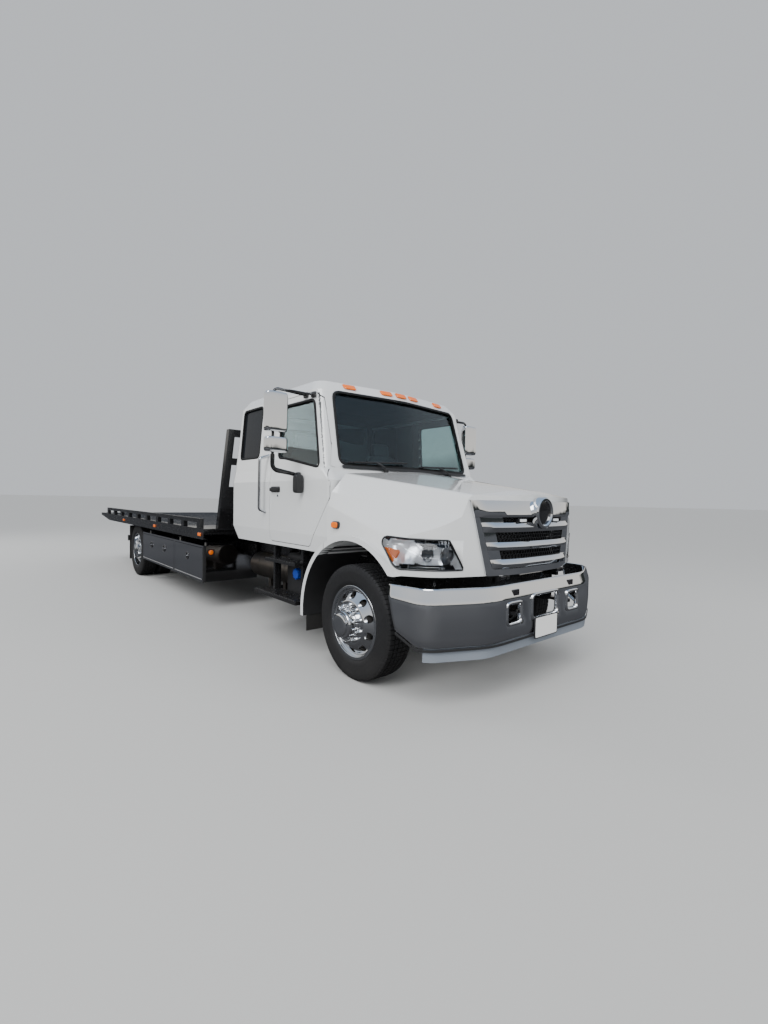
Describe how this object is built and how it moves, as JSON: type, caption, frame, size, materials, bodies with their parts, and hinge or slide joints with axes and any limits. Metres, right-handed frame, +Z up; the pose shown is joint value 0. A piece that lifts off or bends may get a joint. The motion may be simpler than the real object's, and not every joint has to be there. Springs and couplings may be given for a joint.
{
  "type": "tow truck",
  "caption": "Flatbed tow truck with extended cab, tilting hood, sliding and tilting bed, side rails, headboard, winch, tool boxes and a wheel lift.",
  "frame": {"origin": "on the ground, under the centre of the overall length and width", "axes": "+X forward, +Y to the truck's left, +Z up"},
  "size_m": [10.19, 2.91, 2.6399],
  "materials": {
    "white_paint": "gloss",
    "black_paint": "satin",
    "chrome": "mirror",
    "grey_plastic": "matte",
    "dark_plastic": "matte",
    "dark_iron": "painted black",
    "aluminium": "brushed",
    "steel": "bright",
    "stainless": "polished",
    "polished_alloy": "polished",
    "tyre": "matte",
    "flap_rubber": "matte",
    "tinted_glass": "tinted",
    "lamp_lens": "clear",
    "amber_lens": "gloss",
    "seat_fabric": "woven"
  },
  "bodies": {
    "chassis": {"frame_rails": "black_paint", "frame_hangers": "black_paint", "tow_hooks": "black_paint", "front_bumper": "chrome", "air_dam": "grey_plastic", "front_axle_beam": "dark_iron", "rear_axle_housing": "dark_iron", "engine_block": "dark_iron", "drive_shaft": "dark_iron", "leaf_springs": "dark_iron", "fuel_tank": "aluminium", "urea_tank": "dark_plastic", "exhaust_canister": "steel", "cab_shell": "white_paint", "cab_glass": "tinted_glass", "dashboard": "dark_plastic", "seats": "seat_fabric", "cab_steps": "black_paint", "grab_handles": "steel", "roof_markers": "amber_lens", "fender_tails": "white_paint", "mud_flaps": "flap_rubber", "rear_light_bar": "black_paint", "toolbox_right": "stainless", "toolbox_left": "stainless"},
    "hood": {"hood": "white_paint", "grille": "chrome", "grille_mesh": "dark_plastic", "headlamps": "lamp_lens"},
    "bed_subframe": {"bed_subframe": "black_paint"},
    "bed": {"deck": "black_paint", "deck_side_rails": "black_paint", "headboard": "black_paint"},
    "winch": {"winch_drum": "steel"},
    "tilt_barrels": {"tilt_barrels": "black_paint"},
    "tilt_rods": {"tilt_rods": "steel"},
    "lift_boom": {"lift_boom": "black_paint"},
    "lift_stinger": {"lift_stinger": "black_paint"},
    "knuckle_right": {"knuckle_right": "dark_iron"},
    "front_wheel_right": {"front_tyre_right": "tyre", "front_wheel_right": "polished_alloy"},
    "rear_wheels_right": {"rear_tyres_right": "tyre", "rear_wheels_right": "polished_alloy"},
    "door_right": {"door_right": "white_paint", "door_glass_right": "tinted_glass", "mirrors_right": "chrome"},
    "toolbox_front_door_right": {"toolbox_front_door_right": "stainless"},
    "toolbox_rear_door_right": {"toolbox_rear_door_right": "stainless"},
    "knuckle_left": {"knuckle_left": "dark_iron"},
    "front_wheel_left": {"front_tyre_left": "tyre", "front_wheel_left": "polished_alloy"},
    "rear_wheels_left": {"rear_tyres_left": "tyre", "rear_wheels_left": "polished_alloy"},
    "door_left": {"door_left": "white_paint", "door_glass_left": "tinted_glass", "mirrors_left": "chrome"},
    "toolbox_front_door_left": {"toolbox_front_door_left": "stainless"},
    "toolbox_rear_door_left": {"toolbox_rear_door_left": "stainless"}
  },
  "joints": [
    {"name": "steer_right", "type": "hinge", "parent": "chassis", "child": "knuckle_right", "pos_m": [4.035, -0.8, 0.464], "axis": [0, 0, 1], "range_deg": [-35, 35]},
    {"name": "front_wheel_spin_right", "type": "hinge", "parent": "knuckle_right", "child": "front_wheel_right", "pos_m": [4.035, -0.975, 0.464], "axis": [0, 1, 0], "continuous": true},
    {"name": "rear_wheels_spin_right", "type": "hinge", "parent": "chassis", "child": "rear_wheels_right", "pos_m": [-2.395, -0.905, 0.464], "axis": [0, 1, 0], "continuous": true},
    {"name": "door_right_swing", "type": "hinge", "parent": "chassis", "child": "door_right", "pos_m": [3.638, -1.064, 1.5], "axis": [0, 0, 1], "range_deg": [0, 70]},
    {"name": "toolbox_front_door_right_drop", "type": "hinge", "parent": "chassis", "child": "toolbox_front_door_right", "pos_m": [0.51, -1.225, 0.4], "axis": [1, 0, 0], "range_deg": [0, 90]},
    {"name": "toolbox_rear_door_right_drop", "type": "hinge", "parent": "chassis", "child": "toolbox_rear_door_right", "pos_m": [-0.915, -1.225, 0.4], "axis": [1, 0, 0], "range_deg": [0, 90]},
    {"name": "steer_left", "type": "hinge", "parent": "chassis", "child": "knuckle_left", "pos_m": [4.035, 0.8, 0.464], "axis": [0, 0, 1], "range_deg": [-35, 35]},
    {"name": "front_wheel_spin_left", "type": "hinge", "parent": "knuckle_left", "child": "front_wheel_left", "pos_m": [4.035, 0.975, 0.464], "axis": [0, 1, 0], "continuous": true},
    {"name": "rear_wheels_spin_left", "type": "hinge", "parent": "chassis", "child": "rear_wheels_left", "pos_m": [-2.395, 0.905, 0.464], "axis": [0, 1, 0], "continuous": true},
    {"name": "door_left_swing", "type": "hinge", "parent": "chassis", "child": "door_left", "pos_m": [3.638, 1.064, 1.5], "axis": [0, 0, -1], "range_deg": [0, 70]},
    {"name": "toolbox_front_door_left_drop", "type": "hinge", "parent": "chassis", "child": "toolbox_front_door_left", "pos_m": [0.51, 1.225, 0.4], "axis": [-1, 0, 0], "range_deg": [0, 90]},
    {"name": "toolbox_rear_door_left_drop", "type": "hinge", "parent": "chassis", "child": "toolbox_rear_door_left", "pos_m": [-0.915, 1.225, 0.4], "axis": [-1, 0, 0], "range_deg": [0, 90]},
    {"name": "hood_tilt", "type": "hinge", "parent": "chassis", "child": "hood", "pos_m": [4.965, 0, 0.895], "axis": [0, 1, 0], "range_deg": [0, 60]},
    {"name": "bed_tilt", "type": "hinge", "parent": "chassis", "child": "bed_subframe", "pos_m": [-3.795, 0, 0.78], "axis": [0, -1, 0], "range_deg": [0, 10.5]},
    {"name": "bed_slide", "type": "slide", "parent": "bed_subframe", "child": "bed", "axis": [-1, 0, 0], "range_m": [0, 4]},
    {"name": "winch_spin", "type": "hinge", "parent": "bed", "child": "winch", "pos_m": [0.775, 0, 1.215], "axis": [0, 1, 0], "continuous": true},
    {"name": "tilt_cylinder_swing", "type": "hinge", "parent": "chassis", "child": "tilt_barrels", "pos_m": [-2.795, 0, 0.66], "axis": [0, -1, 0], "range_deg": [0, 20]},
    {"name": "tilt_rod_extend", "type": "slide", "parent": "tilt_barrels", "child": "tilt_rods", "axis": [0.9821, 0, 0.1886], "range_m": [0, 0.09]},
    {"name": "lift_tilt", "type": "hinge", "parent": "bed_subframe", "child": "lift_boom", "pos_m": [-4.045, 0, 0.755], "axis": [0, 1, 0], "range_deg": [-20, 0]},
    {"name": "lift_extend", "type": "slide", "parent": "lift_boom", "child": "lift_stinger", "axis": [1, 0, 0], "range_m": [-0.45, 0]}
  ],
  "couplings": [
    {"joint": "steer_left", "follows": "steer_right", "ratio": 1},
    {"joint": "tilt_cylinder_swing", "follows": "bed_tilt", "ratio": 1.6925},
    {"joint": "tilt_rod_extend", "follows": "bed_tilt", "m_per_rad": 0.43}
  ]
}
